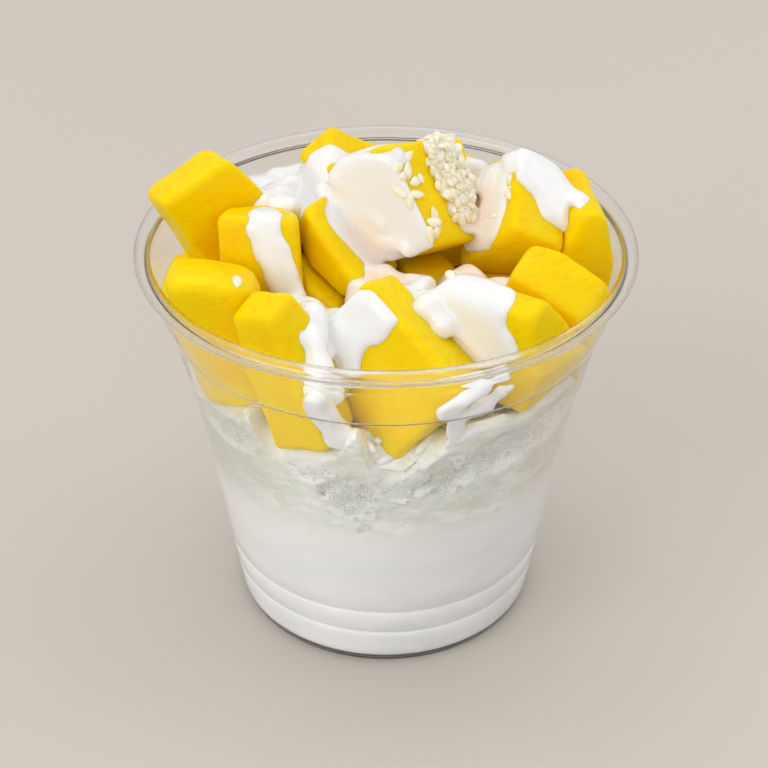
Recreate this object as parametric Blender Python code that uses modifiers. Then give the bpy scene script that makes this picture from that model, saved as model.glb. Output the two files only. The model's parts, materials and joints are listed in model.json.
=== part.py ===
"""Mango sticky rice served in a clear plastic cup.

The cup is 92 mm across its rolled rim, 78 mm tall and 58 mm across its base. From the bottom up it holds
coconut cream, sticky rice and a heap of soft mango cubes that stands above the rim. The origin is the
centre of the cup's foot, +Z is up and -Y is the front.

The mango cubes are convex blocks. Each is cut from a tapered, leaning box with rounded edges, then pressed
flat against its neighbours and against the cup's wall. The rice is moulded round the cubes that sit in it.
"""

import math

import bmesh
import bpy
from mathutils import Euler, Matrix, Vector

MM = 0.001

# Cup, in millimetres
CUP_HEIGHT = 78.0
BEAD_RADIUS = 1.5
BEAD_CENTRE_R = 44.5
WALL = 0.5
FOOT_RECESS = 1.2
FOOT_RING = 2.2
GROOVE_DEPTH = 0.45
GROOVE_HALF_HEIGHT = 0.7
GROOVES = (8.1, 13.8)
STEP_Z = 64.3
STEP_OUT = 0.45
LIP_Z = 75.0
FLOOR_FLAT = 0.75
BEAD_FROM, BEAD_TO, BEAD_TURN = 200, -120, -40
FOOT_STEP_IN = 0.8
CUP_STEPS = 56
# Outer wall: height and radius of a gently flared side
WALL_LINE = ((0.0, 28.6), (FOOT_RECESS, 29.1), (13.8, 31.0), (39.5, 35.0), (61.2, 39.7), (LIP_Z, 43.7))
WALL_BENDS = (26.0, 39.5, 50.0, 61.2, STEP_Z - 0.1, STEP_Z + 0.5, 70.0)

# Layers, in millimetres
GAP = 0.3
CREAM_TOP = 31.0
RICE_TOP = 57.0
RICE_ROUGHNESS = 1.3
RICE_RINGS = 7
ABOVE_RIM = 125.0
HEAP_WALL = (45.0, 50.0, 61.2, STEP_Z - 0.1, STEP_Z + 0.5, 70.0, LIP_Z)
CLEAR_OF_BEAD = 0.4

# Mango
ROUNDING = 2.1
ROUND_SEGMENTS = 2
CROWN_CUTS = 3
FIRST_GIVES = 0.25
FACES_TRIED = 12
SAME_WAY = 0.995
LEAST_TOWARDS = 0.25

# Each mango cube: centre, tilt about X, Y and Z in degrees, size, taper towards the top in X and Y,
# lean of the top in X and Y, and the crown of a cube cut from the fruit's curved outside. Where two
# cubes press together, the one listed first keeps more of its shape.
MANGO = (
    # on top of the heap
    ((3, 10, 79), (-20, -30, -30), (21, 20, 20), (-0.14, -0.16), (-0.18, -0.12), 0.0),
    ((-22, -3, 73), (-20, 0, -5), (14, 16, 21), (0.00, 0.00), (-0.10, -0.05), 0.0),
    ((-29, 3, 80), (-8, -20, 36), (17, 20, 20), (0.12, 0.05), (-0.20, -0.05), 0.0),
    ((-5, 20, 78), (0, -35, 22), (17, 19, 18), (0.25, 0.00), (0.00, -0.05), 0.0),
    # round the front, from the big slanting cube outwards
    ((1, -23, 64), (-22, 30, -40), (26, 15, 23), (0.00, 0.00), (0.05, 0.00), 0.0),
    ((19, -25, 70), (20, -8, -40), (21, 18, 19), (0.05, 0.25), (0.00, 0.00), 0.0),
    ((30, -10, 67), (14, 25, -24), (19, 17, 20), (0.15, 0.10), (-0.20, -0.10), 0.0),
    ((22, 6, 76), (-45, 32, 8), (19, 20, 24), (0.05, 0.10), (-0.20, 0.05), 0.0),
    ((-7, 4, 74), (0, 34, -36), (18, 18, 10), (0.00, 0.00), (0.00, 0.00), 1.0),
    ((-10, 0, 69), (-7, 29, -33), (15, 16, 16), (0.00, -0.10), (0.00, -0.10), 0.0),
    ((-28, -14, 67), (-8, 5, -5), (15, 19, 24), (0.00, 0.00), (-0.30, -0.15), 1.0),
    ((-17, -26, 67), (13, -20, -38), (14, 12, 27), (0.10, 0.35), (0.00, 0.00), 0.0),
    ((35, 9, 70), (0, -10, 8), (13, 20, 24), (0.00, 0.00), (-0.05, 0.00), 1.5),
    ((10, 6, 64), (0, 5, 20), (18, 18, 18), (0.00, 0.00), (0.00, 0.00), 0.0),
    # behind, against the wall
    ((-17, 15, 69), (5, -10, 20), (18, 18, 18), (0.05, 0.00), (0.00, 0.10), 0.0),
    ((-29, 19, 66), (10, -12, 40), (18, 17, 20), (0.10, 0.05), (0.00, 0.00), 1.0),
    ((-32, 3, 63), (0, -14, 5), (16, 19, 17), (0.00, 0.05), (0.00, 0.10), 0.0),
    ((-10, 31, 65), (-16, 8, -10), (19, 17, 20), (0.00, 0.10), (0.10, 0.00), 0.0),
    ((10, 30, 67), (-14, -6, 24), (20, 18, 19), (0.08, 0.00), (0.00, 0.05), 1.2),
    ((27, 24, 66), (-8, 14, -40), (19, 17, 21), (0.00, 0.12), (0.05, 0.00), 0.0),
    # underneath
    ((0, -5, 61), (8, -6, 35), (17, 17, 16), (0.00, 0.00), (0.00, 0.00), 0.0),
    ((-14, -11, 60), (-5, 10, 10), (17, 16, 16), (0.00, 0.00), (0.00, 0.00), 0.0),
    ((20, 4, 60), (6, 0, -15), (17, 18, 15), (0.00, 0.00), (0.00, 0.00), 0.0),
    ((1, 18, 64), (-6, -4, 12), (19, 18, 18), (0.05, 0.00), (0.00, 0.00), 0.0),
)


def clear_scene():
    for ob in list(bpy.data.objects):
        bpy.data.objects.remove(ob, do_unlink=True)


def new_collection(name):
    made = bpy.data.collections.new(name)
    bpy.context.scene.collection.children.link(made)
    return made


def material(name, colour, roughness, transmission=0.0, ior=1.45):
    made = bpy.data.materials.new(name)
    made.use_nodes = True
    shader = made.node_tree.nodes["Principled BSDF"]
    shader.inputs["Base Color"].default_value = (*colour, 1.0)
    shader.inputs["Metallic"].default_value = 0.0
    shader.inputs["Roughness"].default_value = roughness
    shader.inputs["Transmission Weight"].default_value = transmission
    shader.inputs["IOR"].default_value = ior
    return made


def between(line, z):
    """The radius at a height, read from (height, radius) points."""
    for (z0, r0), (z1, r1) in zip(line, line[1:]):
        if z <= z1:
            return r0 + (r1 - r0) * (z - z0) / (z1 - z0)
    (z0, r0), (z1, r1) = line[-2:]
    return r1 + (r1 - r0) * (z - z1) / (z1 - z0)


def outer_radius(z):
    """The cup's outer wall, with its stacking step near the top."""
    return between(WALL_LINE, z) + (STEP_OUT if STEP_Z < z < LIP_Z else 0.0)


def inner_radius(z):
    return outer_radius(z) - WALL


def wall_heights():
    """The heights, from the foot up, at which the wall's profile has a point."""
    heights = [FOOT_RECESS + WALL]
    for groove in GROOVES:
        heights += [groove - GROOVE_HALF_HEIGHT, groove, groove + GROOVE_HALF_HEIGHT]
    return heights + list(WALL_BENDS)


def dent(z):
    """How far a band's groove pulls the wall in at a height."""
    return GROOVE_DEPTH if z in GROOVES else 0.0


def cup_profile():
    """Floor centre, up the inside, round the rolled rim, down the outside, under the foot to the axis."""
    heights = wall_heights()
    floor = FOOT_RECESS + WALL
    points = [(0.0, floor), (inner_radius(floor) * FLOOR_FLAT, floor)]
    points += [(inner_radius(z) - dent(z), z) for z in heights]
    bead_z = CUP_HEIGHT - BEAD_RADIUS
    for degrees in range(BEAD_FROM, BEAD_TO - 1, BEAD_TURN):
        angle = math.radians(degrees)
        points.append((BEAD_CENTRE_R + BEAD_RADIUS * math.cos(angle), bead_z + BEAD_RADIUS * math.sin(angle)))
    points += [(outer_radius(z) - dent(z), z) for z in reversed(heights[1:])]
    foot = outer_radius(0.0)
    points += [(outer_radius(FOOT_RECESS), FOOT_RECESS), (foot, 0.0), (foot - FOOT_RING, 0.0)]
    points += [(foot - FOOT_RING - FOOT_STEP_IN, FOOT_RECESS), (0.0, FOOT_RECESS)]
    return points


def turned(name, profile, collection, finish):
    """A profile at +X, running down its outer side, turned round the Z axis."""
    mesh = bpy.data.meshes.new(name)
    points = [(r * MM, 0.0, z * MM) for r, z in profile]
    mesh.from_pydata(points, [(i, i + 1) for i in range(len(points) - 1)], [])
    ob = bpy.data.objects.new(name, mesh)
    collection.objects.link(ob)
    screw = ob.modifiers.new("Turn", "SCREW")
    screw.axis = "Z"
    screw.angle = math.tau
    screw.steps = CUP_STEPS
    screw.render_steps = CUP_STEPS
    screw.use_merge_vertices = True
    screw.merge_threshold = 0.00001
    screw.use_smooth_shade = True
    mesh.materials.append(finish)
    return ob


def contents_profile(bottom, top, rings):
    """The profile of a layer that fills the cup from one height to another, clear of its wall."""
    inside = [z for z in wall_heights() if bottom + 0.5 < z < top - 0.5]
    edge = [top, *reversed(inside), bottom]
    wall = [(inner_radius(z) - dent(z) - GAP, z) for z in edge]
    across = [(wall[0][0] * i / rings, top) for i in range(rings)]
    return across + wall + [(0.0, bottom)]


def applied(ob):
    """The same object with its modifiers made into plain mesh."""
    depsgraph = bpy.context.evaluated_depsgraph_get()
    mesh = bpy.data.meshes.new_from_object(ob.evaluated_get(depsgraph))
    ob.modifiers.clear()
    ob.data = mesh
    return ob


def hide_cutter(ob):
    ob.hide_render = True
    ob.display_type = "WIRE"


def rice_height(x, y):
    """The rice's uneven top, in millimetres: low broad lumps, a little higher at the back and left."""
    lumps = math.sin(0.21 * x + 1.1) * math.cos(0.19 * y - 0.4) + 0.5 * math.sin(0.43 * y + 0.31 * x)
    return RICE_TOP + RICE_ROUGHNESS * lumps + 0.02 * y - 0.03 * x


def mango_block(centre, tilt, size, taper, lean, crown):
    """A tapered, leaning box with rounded edges, as a bmesh in metres and in its place."""
    bm = bmesh.new()
    bmesh.ops.create_cube(bm, size=1.0)
    if crown:
        across = [e for e in bm.edges if abs(e.verts[0].co.x - e.verts[1].co.x) > 0.5]
        bmesh.ops.subdivide_edges(bm, edges=across, cuts=CROWN_CUTS)
    for v in bm.verts:
        x, y, z = v.co
        side = 2.0 * z
        bulge = crown * (1.0 - (2.0 * x) ** 2) if z > 0 else 0.0
        v.co = Vector(
            (
                size[0] * x * (1.0 - taper[0] * side) + lean[0] * size[2] * z,
                size[1] * y * (1.0 - taper[1] * side) + lean[1] * size[2] * z,
                size[2] * z + bulge,
            )
        )
    sharp = [e for e in bm.edges if e.calc_face_angle() > math.radians(40)]
    bmesh.ops.bevel(
        bm,
        geom=sharp,
        offset=ROUNDING,
        segments=ROUND_SEGMENTS,
        profile=0.5,
        affect="EDGES",
        clamp_overlap=True,
    )
    turn = Euler([math.radians(a) for a in tilt]).to_matrix().to_4x4()
    bm.transform(Matrix.Scale(MM, 4) @ Matrix.Translation(centre) @ turn)
    return bm


def reach(bm, axis):
    along = [v.co.dot(axis) for v in bm.verts]
    return min(along), max(along)


def middle(bm):
    return sum((v.co for v in bm.verts), Vector()) / len(bm.verts)


def shaved(bm, normal, at):
    """Cuts off what lies beyond the plane and closes the cut with a flat face."""
    geom = [*bm.verts, *bm.edges, *bm.faces]
    cut = bmesh.ops.bisect_plane(
        bm, geom=geom, dist=1e-7, plane_co=normal * at, plane_no=normal, clear_outer=True
    )
    rim = [e for e in cut["geom_cut"] if isinstance(e, bmesh.types.BMEdge)]
    if rim:
        bmesh.ops.contextual_create(bm, geom=rim)


def directions(bm):
    """The outward directions of a block's larger faces."""
    found = []
    for face in sorted(bm.faces, key=lambda f: -f.calc_area())[:FACES_TRIED]:
        if all(face.normal.dot(n) < SAME_WAY for n in found):
            found.append(face.normal.copy())
    return found


def press_apart(a, b):
    """Presses two blocks flat against each other, where they overlap least. The first keeps more."""
    apart = middle(b) - middle(a)
    axes = directions(a) + [-n for n in directions(b)] + [apart.normalized()]
    axes = [n for n in axes if n.dot(apart.normalized()) > LEAST_TOWARDS]
    best = None
    for n in axes:
        depth = reach(a, n)[1] - reach(b, n)[0] + GAP * MM
        if best is None or depth < best[0]:
            best = (depth, n)
    depth, n = best
    if depth <= 0.0:
        return
    top_of_a, bottom_of_b = reach(a, n)[1], reach(b, n)[0]
    face = top_of_a - FIRST_GIVES * (top_of_a - bottom_of_b)
    shaved(a, n, face - 0.5 * GAP * MM)
    shaved(b, -n, -(face + 0.5 * GAP * MM))


def mesh_object(name, bm, collection, finish):
    mesh = bpy.data.meshes.new(name)
    bm.to_mesh(mesh)
    ob = bpy.data.objects.new(name, mesh)
    collection.objects.link(ob)
    mesh.materials.append(finish)
    return ob


def swollen(ob, by, collection):
    """The hull of a convex object, grown on all sides, to press its mould with."""
    source = bmesh.new()
    source.from_mesh(ob.data)
    source.normal_update()
    bm = bmesh.new()
    for v in source.verts:
        bm.verts.new(v.co + v.normal * by * v.calc_shell_factor())
    source.free()
    hull = bmesh.ops.convex_hull(bm, input=bm.verts)
    inside = {v for v in hull["geom_interior"] if isinstance(v, bmesh.types.BMVert)}
    bmesh.ops.delete(bm, geom=list(inside), context="VERTS")
    made = mesh_object(ob.name + "_mould", bm, collection, ob.data.materials[0])
    bm.free()
    hide_cutter(made)
    return made


def soften(ob, degrees=35):
    ob.data.shade_smooth()
    ob.data.set_sharp_from_angle(angle=math.radians(degrees))


def make_mango(parts, cutters, finish):
    """The heap of cubes, each pressed against its neighbours, then against the cup's wall."""
    blocks = [mango_block(*spec) for spec in MANGO]
    for i, a in enumerate(blocks):
        for b in blocks[i + 1 :]:
            a.normal_update()
            b.normal_update()
            press_apart(a, b)
    wall = [(inner_radius(z) - GAP, z) for z in HEAP_WALL]
    slope = (wall[-1][0] - wall[-2][0]) / (HEAP_WALL[-1] - HEAP_WALL[-2])
    rim_inside = BEAD_CENTRE_R - BEAD_RADIUS - GAP
    wall[-1] = (min(wall[-1][0], rim_inside - CLEAR_OF_BEAD), LIP_Z)
    wall.append((rim_inside + slope * (CUP_HEIGHT - LIP_Z - 1.0), CUP_HEIGHT))
    wall.append((rim_inside + slope * (ABOVE_RIM - LIP_Z - 1.0), ABOVE_RIM))
    profile = [(0.0, ABOVE_RIM), *reversed(wall), (0.0, HEAP_WALL[0])]
    cavity = turned("cavity", profile, cutters, finish)
    hide_cutter(cavity)
    cubes = []
    for number, block in enumerate(blocks, 1):
        ob = mesh_object(f"mango_{number:02d}", block, parts, finish)
        block.free()
        held_in = ob.modifiers.new("Held in by the wall", "BOOLEAN")
        held_in.operation = "INTERSECT"
        held_in.solver = "EXACT"
        held_in.object = cavity
        cubes.append(applied(ob))
        soften(ob)
    return cubes


def make_rice(parts, moulds, cubes, finish):
    """The rice layer, with an uneven top, moulded round the cubes that reach into it."""
    bottom = CREAM_TOP + GAP
    rice = turned("sticky_rice", contents_profile(bottom, RICE_TOP, RICE_RINGS), parts, finish)
    applied(rice)
    for v in rice.data.vertices:
        if v.co.z > (RICE_TOP - 0.1) * MM:
            height = rice_height(v.co.x / MM, v.co.y / MM)
            v.co.xy *= (inner_radius(height) - GAP) / (inner_radius(RICE_TOP) - GAP)
            v.co.z = height * MM
    for cube in cubes:
        if min(v.co.z for v in cube.data.vertices) < (RICE_TOP + 3.0) * MM:
            swollen(cube, GAP * MM, moulds)
    pressed = rice.modifiers.new("Pressed by the cubes", "BOOLEAN")
    pressed.operation = "DIFFERENCE"
    pressed.solver = "EXACT"
    pressed.operand_type = "COLLECTION"
    pressed.collection = moulds
    applied(rice)
    soften(rice)
    return rice


def main():
    clear_scene()
    parts = new_collection("mango_sticky_rice")
    cutters = new_collection("cutters")
    plastic = material("clear_plastic", (0.97, 0.98, 0.98), 0.05, 1.0, 1.57)
    cream = material("coconut_cream", (0.72, 0.72, 0.74), 0.35)
    rice = material("sticky_rice", (0.52, 0.50, 0.43), 0.4)
    mango = material("mango", (0.87, 0.55, 0.0), 0.35)
    turned("cup", cup_profile(), parts, plastic)
    bottom = FOOT_RECESS + WALL + GAP
    turned("coconut_cream", contents_profile(bottom, CREAM_TOP, 1), parts, cream)
    cubes = make_mango(parts, cutters, mango)
    make_rice(parts, new_collection("moulds"), cubes, rice)


main()
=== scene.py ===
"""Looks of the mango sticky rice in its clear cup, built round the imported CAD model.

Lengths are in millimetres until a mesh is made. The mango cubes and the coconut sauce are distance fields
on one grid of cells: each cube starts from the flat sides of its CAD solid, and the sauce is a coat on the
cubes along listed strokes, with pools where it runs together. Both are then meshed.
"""

import json
import math

import bmesh
import bpy
import numpy as np
import openvdb
from mathutils import Matrix, Vector
from mathutils.bvhtree import BVHTree

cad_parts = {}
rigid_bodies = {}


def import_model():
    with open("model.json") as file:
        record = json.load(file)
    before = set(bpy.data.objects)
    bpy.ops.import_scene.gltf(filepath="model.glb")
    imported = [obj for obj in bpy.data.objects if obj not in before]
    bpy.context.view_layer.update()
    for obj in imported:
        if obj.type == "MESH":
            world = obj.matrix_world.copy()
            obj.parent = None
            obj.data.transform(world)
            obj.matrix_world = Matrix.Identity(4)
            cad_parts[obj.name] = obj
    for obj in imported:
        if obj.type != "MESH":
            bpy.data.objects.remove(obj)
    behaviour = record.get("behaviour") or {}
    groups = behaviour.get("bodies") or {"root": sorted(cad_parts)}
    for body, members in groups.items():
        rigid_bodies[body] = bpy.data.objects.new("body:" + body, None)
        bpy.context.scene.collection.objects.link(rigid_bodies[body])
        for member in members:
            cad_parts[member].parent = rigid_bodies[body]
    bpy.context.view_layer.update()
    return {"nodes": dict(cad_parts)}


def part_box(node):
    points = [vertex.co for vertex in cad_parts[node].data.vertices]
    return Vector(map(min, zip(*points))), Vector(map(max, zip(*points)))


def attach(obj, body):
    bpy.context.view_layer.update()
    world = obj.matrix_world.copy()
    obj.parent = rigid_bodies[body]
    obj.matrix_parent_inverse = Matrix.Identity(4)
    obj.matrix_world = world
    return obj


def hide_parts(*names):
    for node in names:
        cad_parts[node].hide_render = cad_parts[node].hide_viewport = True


MM = 0.001

# Camera, in metres and degrees
CAMERA_AIM = (-0.0003, 0.0, 0.04515)
CAMERA_DISTANCE = 0.3576
CAMERA_ELEVATION = 34.41
CAMERA_ROLL = 0.19
CAMERA_LENS = 87.03

# Cup
CUP_HEIGHT = 78.0
BEAD_RADIUS = 1.5
BEAD_CENTRE_R = 44.5
WALL = 0.5
FLOOR_Z = 1.7
FOOT_RECESS = 1.2
FOOT_RING = 2.2
GROOVE_DEPTH = 0.45
GROOVE_HALF_HEIGHT = 0.7
GROOVES = (8.1, 13.8)
STEP_Z = 64.3
LINE_Z = 73.0
LINE_HEIGHT, LINE_HALF = 0.14, 0.35
CURL_WALL = 0.45
STEP_OUT = 0.45
WALL_LINE = ((0.0, 28.6), (1.2, 29.1), (13.8, 31.0), (39.5, 35.0), (61.2, 39.7), (75.0, 43.7))
CUP_STEPS = 192

# Contents
INTO_WALL = 0.12
CREAM_TOP = 31.0
RICE_LOW = 29.4
RICE_TOP = 57.0
EDGE_LOW, EDGE_HIGH = 49.0, 61.0
EDGE_PROBES = (0.6, 1.6, 2.8, 4.0, 5.5)
RICE_STEPS, RICE_ROWS, RICE_RINGS = 288, 64, 30
RICE_ROUNDING, RICE_ROUNDED = 1.5, 1.6
GRAINS_AT_WALL, GRAINS_ON_TOP = 380, 460
GRAIN_HALF_LENGTH, GRAIN_HALF_WIDTH = (2.6, 3.2), (0.85, 1.05)

# Grid of cells for the distance fields
CELL = 0.45
GRID_LOW = np.array((-46.8, -46.8, 45.0))
GRID_CELLS = (209, 209, 116)
FAR = 4.0
MARGIN = 3.5

# Mango cubes: facets narrower than a strip are a CAD bevel's, and the surface stands no further proud of them
EDGE_STRIP = 1.7
EDGE_PROUD = 0.8
CUBES_APART = 0.05
EDGE_ROUNDING = 0.8

CUBES = tuple(f"mango_{n:02d}" for n in range(1, 25))

# Coconut sauce as a coat: thickness, half width, the way the faces under it must look and how closely,
# and the stroke's points
COATS = (
    # the topmost cube's left face
    (1.25, 10.5, (-0.5, -0.8, 0.1, 0.55), ((-1, 1, 83), (4, -2, 82))),
    (1.1, 3.2, None, ((-7, 7, 88), (-2, 5, 91), (1, 3, 92))),
    # its right face, under the seeds
    (1.0, 3.6, (0.7, -0.4, 0.5, 0.3), ((9, 10, 91), (13, 8, 87), (15, 6, 83), (16, 4, 80))),
    (1.0, 3.4, (0.7, -0.4, 0.5, 0.3), ((12, 12, 90), (17, 11, 84))),
    # the strip that runs down between the left cubes
    (1.35, 3.0, None, (
        (-22, -4, 85), (-21.5, -8, 84), (-20, -9, 80.5), (-18.5, -10, 77), (-17.5, -11, 73), (-16, -12, 70),
    )),
    # the field behind on the left
    (1.2, 6.5, None, ((-17, 18, 77), (-12, 14, 78))),
    (1.2, 5.5, None, ((-21, 10, 77), (-17, 16, 77))),
    (1.2, 4.6, None, ((-14, 15, 80), (-12, 17, 82.5), (-7, 17.5, 84))),
    # thin over the middle
    (0.62, 2.6, None, ((-13, 6, 82), (-10, 2, 80), (-6, 1, 76), (-2, 0, 72))),
    (0.6, 3.0, None, ((-3, -1, 71), (0, -6, 69))),
    # the big slanting cube's upper left
    (1.25, 4.6, (-0.5, -0.8, 0.3, 0.5), ((-7, -25, 74), (-9, -26, 70), (-10, -27, 66))),
    (1.25, 4.2, (-0.5, -0.8, 0.3, 0.5), ((-3, -25, 78), (-6, -25, 74))),
    (1.2, 3.2, (-0.5, -0.8, 0.3, 0.5), ((0, -26, 78), (-3, -26, 75))),
    # the front right cube
    (1.4, 5.2, None, ((13, -20, 79), (17, -25, 80))),
    (1.3, 5.0, (-0.6, -0.8, 0.1, 0.2), ((14, -23, 76), (17, -27, 75), (18, -28, 72))),
    (1.3, 3.6, (-0.6, -0.8, 0.1, 0.2), ((14, -25, 71), (17, -26, 68))),
    # the right cube: a thick blob on top, thin down its left face
    (1.6, 4.8, (0.5, -0.4, 0.75, 0.45), ((23, 11, 90), (26, 8, 88), (29, 6.5, 85.5), (32, 5, 82))),
    (1.2, 2.6, None, ((21.5, 12, 90), (24, 8, 89))),
    (0.8, 7.0, (-0.9, -0.2, 0.4, 0.4), ((19, 14, 85), (19, 11, 82), (18.5, 6, 78))),
    (1.1, 2.3, (-0.9, -0.2, 0.4, 0.4), ((19.5, 11, 84), (19, 8, 80))),
    (0.75, 1.5, None, ((19, 3, 77), (18, -1, 73), (20, -2, 71))),
    # behind, out of the photograph's sight
    (1.2, 4.5, None, ((-8, 29, 76), (1, 27, 77))),
    (1.2, 4.0, None, ((12, 28, 77), (21, 24, 77))),
)

# Coconut sauce where it pools: radius, and the points it runs through
POOLS = (
    (1.6, ((-11, 8, 83), (-6, 4.5, 80), (-1, 1, 77), (4, -2.5, 77))),
    (1.5, ((-9, 7, 86), (-4, 4, 84))),
    (1.6, ((-8, 6, 82), (0, 1, 80))),
    (5.3, ((-27, 22, 72), (-20, 26, 72), (-13, 26, 74))),
    (3.0, ((-20, 11, 79), (-19, 6, 80))),
    (3.4, ((-24, 14, 76), (-19, 20, 76))),
    (3.2, ((-15.5, -13, 70), (-12, -17, 69), (-9, -18, 70))),
    (3.4, ((-12, -24, 71), (-13, -29, 69), (-11, -32, 66))),
    (2.6, ((-13, -23, 75.5), (-12.5, -28, 73), (-11.5, -31, 70))),
    (1.5, ((-17, -27, 77), (-15, -29, 74))),
    (2.4, ((6, -17, 74), (9, -18, 75), (12, -19, 77))),
    (2.2, ((7, -20, 75.5), (10, -23, 73.5))),
    (3.2, ((-2, -4, 71), (3, -8, 71), (6, -12, 73))),
    (3.0, ((13, -3, 69), (16, -7, 70), (21, -9, 71))),
    # the juicy hollow in the middle
    (3.6, ((-4, -9, 70), (0, -12, 71), (4, -15, 72))),
    (3.4, ((1, -8, 68), (8, -8, 67.5), (13, -11, 68))),
    (3.4, ((14, -9, 68), (18, -11, 69), (23, -12, 70))),
    (3.2, ((15, -3, 70), (18, -6, 69))),
    # down the inside of the wall
    (2.4, ((-12, -37.5, 68), (-10, -36.5, 63), (-8, -35.5, 59))),
    (1.6, ((10, -38.6, 66), (13, -38.2, 68), (16, -37.4, 70))),
    (0.9, ((16, -37.4, 70), (20, -36.4, 72))),
    (1.3, ((13, -37.2, 64), (17, -36, 65.5), (19, -35.6, 68))),
    (0.8, ((19, -35.6, 68), (23, -34.4, 69))),
    (1.5, ((11.5, -37.4, 64), (12, -36.6, 60))),
    (2.2, ((12.3, -36.0, 57.5), (12.6, -35.6, 55))),
    (1.3, ((12.6, -35.6, 55), (13, -35, 51))),
    (1.0, ((-8, -36.6, 60), (-6, -36.4, 57))),
)

# Where the sauce is painted pink for light that passes through the mango: centre, radius and strength
PAINTED_PINK_LIGHT_SPOTS = (
    ((-4, 2, 75), 9.0, 0.4),
    ((1, -9, 71), 9.0, 0.75),
    ((15, -8, 69), 11.0, 0.9),
    ((18, 8, 78), 9.0, 0.6),
    ((-15, -14, 69), 5.0, 0.5),
)
COAT_BIAS = 0.35
COAT_EDGE = 1.3
SAUCE_SETTLES = 1.3
SAUCE_UNDER = 0.45
SAUCE_BLEND = 1.2
SAUCE_LEAST_FACES = 60


def rgb(red, green, blue):
    """A colour given as 0 to 255 sRGB, as linear RGBA."""
    def linear(v):
        v /= 255.0
        return v / 12.92 if v <= 0.04045 else ((v + 0.055) / 1.055) ** 2.4
    return (linear(red), linear(green), linear(blue), 1.0)


MILK_WHITE = rgb(247, 247, 245)


# ---------------------------------------------------------------- node helpers


def new_material(name):
    made = bpy.data.materials.new(name)
    made.use_nodes = True
    tree = made.node_tree
    return made, tree, tree.nodes["Principled BSDF"]


def add(tree, kind, links=(), **values):
    """Adds a node, sets its properties, and links (input, output) pairs to it."""
    node = tree.nodes.new(kind)
    for key, value in values.items():
        setattr(node, key, value)
    for socket, output in links:
        tree.links.new(output, node.inputs[socket])
    return node


def place(tree, scale):
    """Object coordinates in millimetres, stretched by a scale."""
    where = add(tree, "ShaderNodeTexCoord")
    mapped = add(tree, "ShaderNodeMapping", [("Vector", where.outputs["Object"])])
    mapped.inputs["Scale"].default_value = [1000.0 * s for s in scale]
    return mapped.outputs["Vector"]


def noise(tree, scale, detail=3.0, roughness=0.5, distortion=0.0):
    made = add(tree, "ShaderNodeTexNoise", [("Vector", place(tree, scale))])
    made.inputs["Scale"].default_value = 1.0
    made.inputs["Detail"].default_value = detail
    made.inputs["Roughness"].default_value = roughness
    made.inputs["Distortion"].default_value = distortion
    return made.outputs["Fac"]


def ramp(tree, factor, stops):
    made = add(tree, "ShaderNodeValToRGB", [("Fac", factor)])
    elements = made.color_ramp.elements
    while len(elements) < len(stops):
        elements.new(0.5)
    for element, (at, colour) in zip(elements, stops):
        element.position = at
        element.color = colour
    return made.outputs["Color"]


def feed(tree, node, pairs):
    """Links or sets each (input, value) pair, for an output or a plain value."""
    for socket, value in pairs:
        if isinstance(value, bpy.types.NodeSocket):
            tree.links.new(value, node.inputs[socket])
        else:
            node.inputs[socket].default_value = value


def mix(tree, factor, a, b):
    made = add(tree, "ShaderNodeMix", data_type="RGBA")
    feed(tree, made, ((0, factor), (6, a), (7, b)))
    return made.outputs[2]


def math_node(tree, operation, a, b):
    made = add(tree, "ShaderNodeMath", operation=operation)
    feed(tree, made, ((0, a), (1, b)))
    return made.outputs[0]


def along(tree, axis):
    """Object coordinate X, Y or Z, in millimetres."""
    split = add(tree, "ShaderNodeSeparateXYZ", [("Vector", place(tree, (1, 1, 1)))])
    return split.outputs[axis]


def spread(tree, value, low, high):
    made = add(tree, "ShaderNodeMapRange", [("Value", value)], interpolation_type="SMOOTHSTEP")
    made.inputs["From Min"].default_value = low
    made.inputs["From Max"].default_value = high
    return made.outputs["Result"]


def bump(tree, shader, height, strength, distance):
    made = add(tree, "ShaderNodeBump", [("Height", height)])
    made.inputs["Strength"].default_value = strength
    made.inputs["Distance"].default_value = distance * MM
    tree.links.new(made.outputs["Normal"], shader.inputs["Normal"])


def soft_inside(shader, weight, radius, scale):
    shader.inputs["Subsurface Weight"].default_value = weight
    shader.inputs["Subsurface Radius"].default_value = radius
    shader.inputs["Subsurface Scale"].default_value = scale * MM


def clear(shader, ior):
    shader.inputs["Base Color"].default_value = (1.0, 1.0, 1.0, 1.0)
    shader.inputs["IOR"].default_value = ior
    shader.inputs["Transmission Weight"].default_value = 1.0


def lets_light_through(tree, shader):
    """Lamps shine straight through the clear material, so that what it holds is lit."""
    path = add(tree, "ShaderNodeLightPath")
    see_through = add(tree, "ShaderNodeBsdfTransparent")
    sources = (path.outputs["Is Shadow Ray"], shader.outputs[0], see_through.outputs[0])
    both = add(tree, "ShaderNodeMixShader", enumerate(sources))
    tree.links.new(both.outputs[0], tree.nodes["Material Output"].inputs["Surface"])


# ---------------------------------------------------------------- materials


def cup_material():
    """Clear plastic, a little milky in the rolled rim."""
    made, tree, shader = new_material("clear_pet")
    clear(shader, 1.36)
    smooth, milky = (0.02, 0.02, 0.02, 1.0), (0.16, 0.16, 0.16, 1.0)
    roughness = ramp(tree, spread(tree, along(tree, "Z"), 73.5, 75.5), ((0.0, smooth), (1.0, milky)))
    tree.links.new(roughness, shader.inputs["Roughness"])
    flow = noise(tree, (0.05, 0.05, 0.3), 1.0)
    bump(tree, shader, flow, 0.1, 0.03)
    lets_light_through(tree, shader)
    return made


def water_material():
    made, tree, shader = new_material("condensation")
    clear(shader, 1.6)
    shader.inputs["Roughness"].default_value = 0.01
    bump(tree, shader, noise(tree, (1.5, 1.5, 1.5), 2.0), 0.1, 0.05)
    lets_light_through(tree, shader)
    return made


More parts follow.
